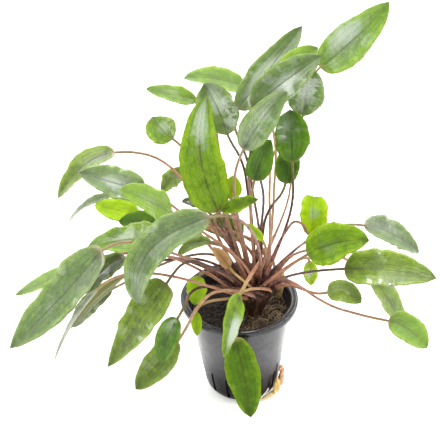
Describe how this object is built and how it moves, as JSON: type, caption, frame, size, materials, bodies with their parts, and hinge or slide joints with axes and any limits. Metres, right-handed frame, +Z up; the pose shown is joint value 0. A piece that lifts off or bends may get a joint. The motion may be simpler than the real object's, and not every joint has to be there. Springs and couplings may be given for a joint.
{
  "type": "potted cryptocoryne",
  "caption": "Leafy aquarium plant, a rosette of long-stalked wavy lance leaves, growing in a small black slotted net pot.",
  "frame": {"origin": "centre of the pot's underside, on the surface that the pot stands on", "axes": "+Z up along the pot's axis, -Y towards the side that the picture shows, +X to the right of that side"},
  "size_m": [0.2036, 0.1204, 0.1824],
  "materials": {
    "pot_plastic": "gloss",
    "peat": "matte",
    "leaf": "gloss",
    "withered_leaf": "matte",
    "crown": "satin",
    "root": "satin"
  },
  "bodies": {
    "root": {"pot": "pot_plastic", "soil": "peat", "crown": "crown", "old_stalk": "crown", "root_1": "root", "root_2": "root", "root_3": "root", "leaf_top_1": "leaf", "leaf_top_2": "leaf", "leaf_top_3": "leaf", "leaf_top_4": "leaf", "leaf_top_5": "leaf", "leaf_top_6": "leaf", "leaf_top_7": "leaf", "leaf_top_8": "leaf", "leaf_left_1": "leaf", "leaf_left_2": "leaf", "leaf_left_3": "leaf", "leaf_left_4": "leaf", "leaf_left_5": "leaf", "leaf_left_6": "leaf", "leaf_left_7": "leaf", "leaf_left_8": "leaf", "leaf_left_9": "leaf", "leaf_left_10": "leaf", "leaf_left_11": "leaf", "leaf_left_12": "leaf", "leaf_left_13": "leaf", "leaf_left_14": "leaf", "leaf_left_15": "leaf", "leaf_left_16": "leaf", "leaf_left_17": "leaf", "leaf_left_18": "leaf", "leaf_low_1": "leaf", "leaf_low_2": "leaf", "leaf_low_3": "leaf", "leaf_low_4": "leaf", "leaf_low_5": "leaf", "leaf_front_1": "leaf", "leaf_front_2": "leaf", "leaf_right_1": "leaf", "leaf_right_2": "leaf", "leaf_right_3": "leaf", "leaf_right_4": "leaf", "leaf_right_5": "leaf", "leaf_right_6": "leaf", "leaf_right_7": "leaf", "leaf_right_8": "leaf", "leaf_middle_1": "leaf", "leaf_middle_2": "leaf", "leaf_middle_3": "leaf", "leaf_middle_4": "leaf", "leaf_middle_5": "leaf", "leaf_middle_6": "leaf", "leaf_middle_7": "leaf", "leaf_middle_8": "leaf", "leaf_middle_9": "leaf", "leaf_withered": "withered_leaf"}
  },
  "joints": []
}
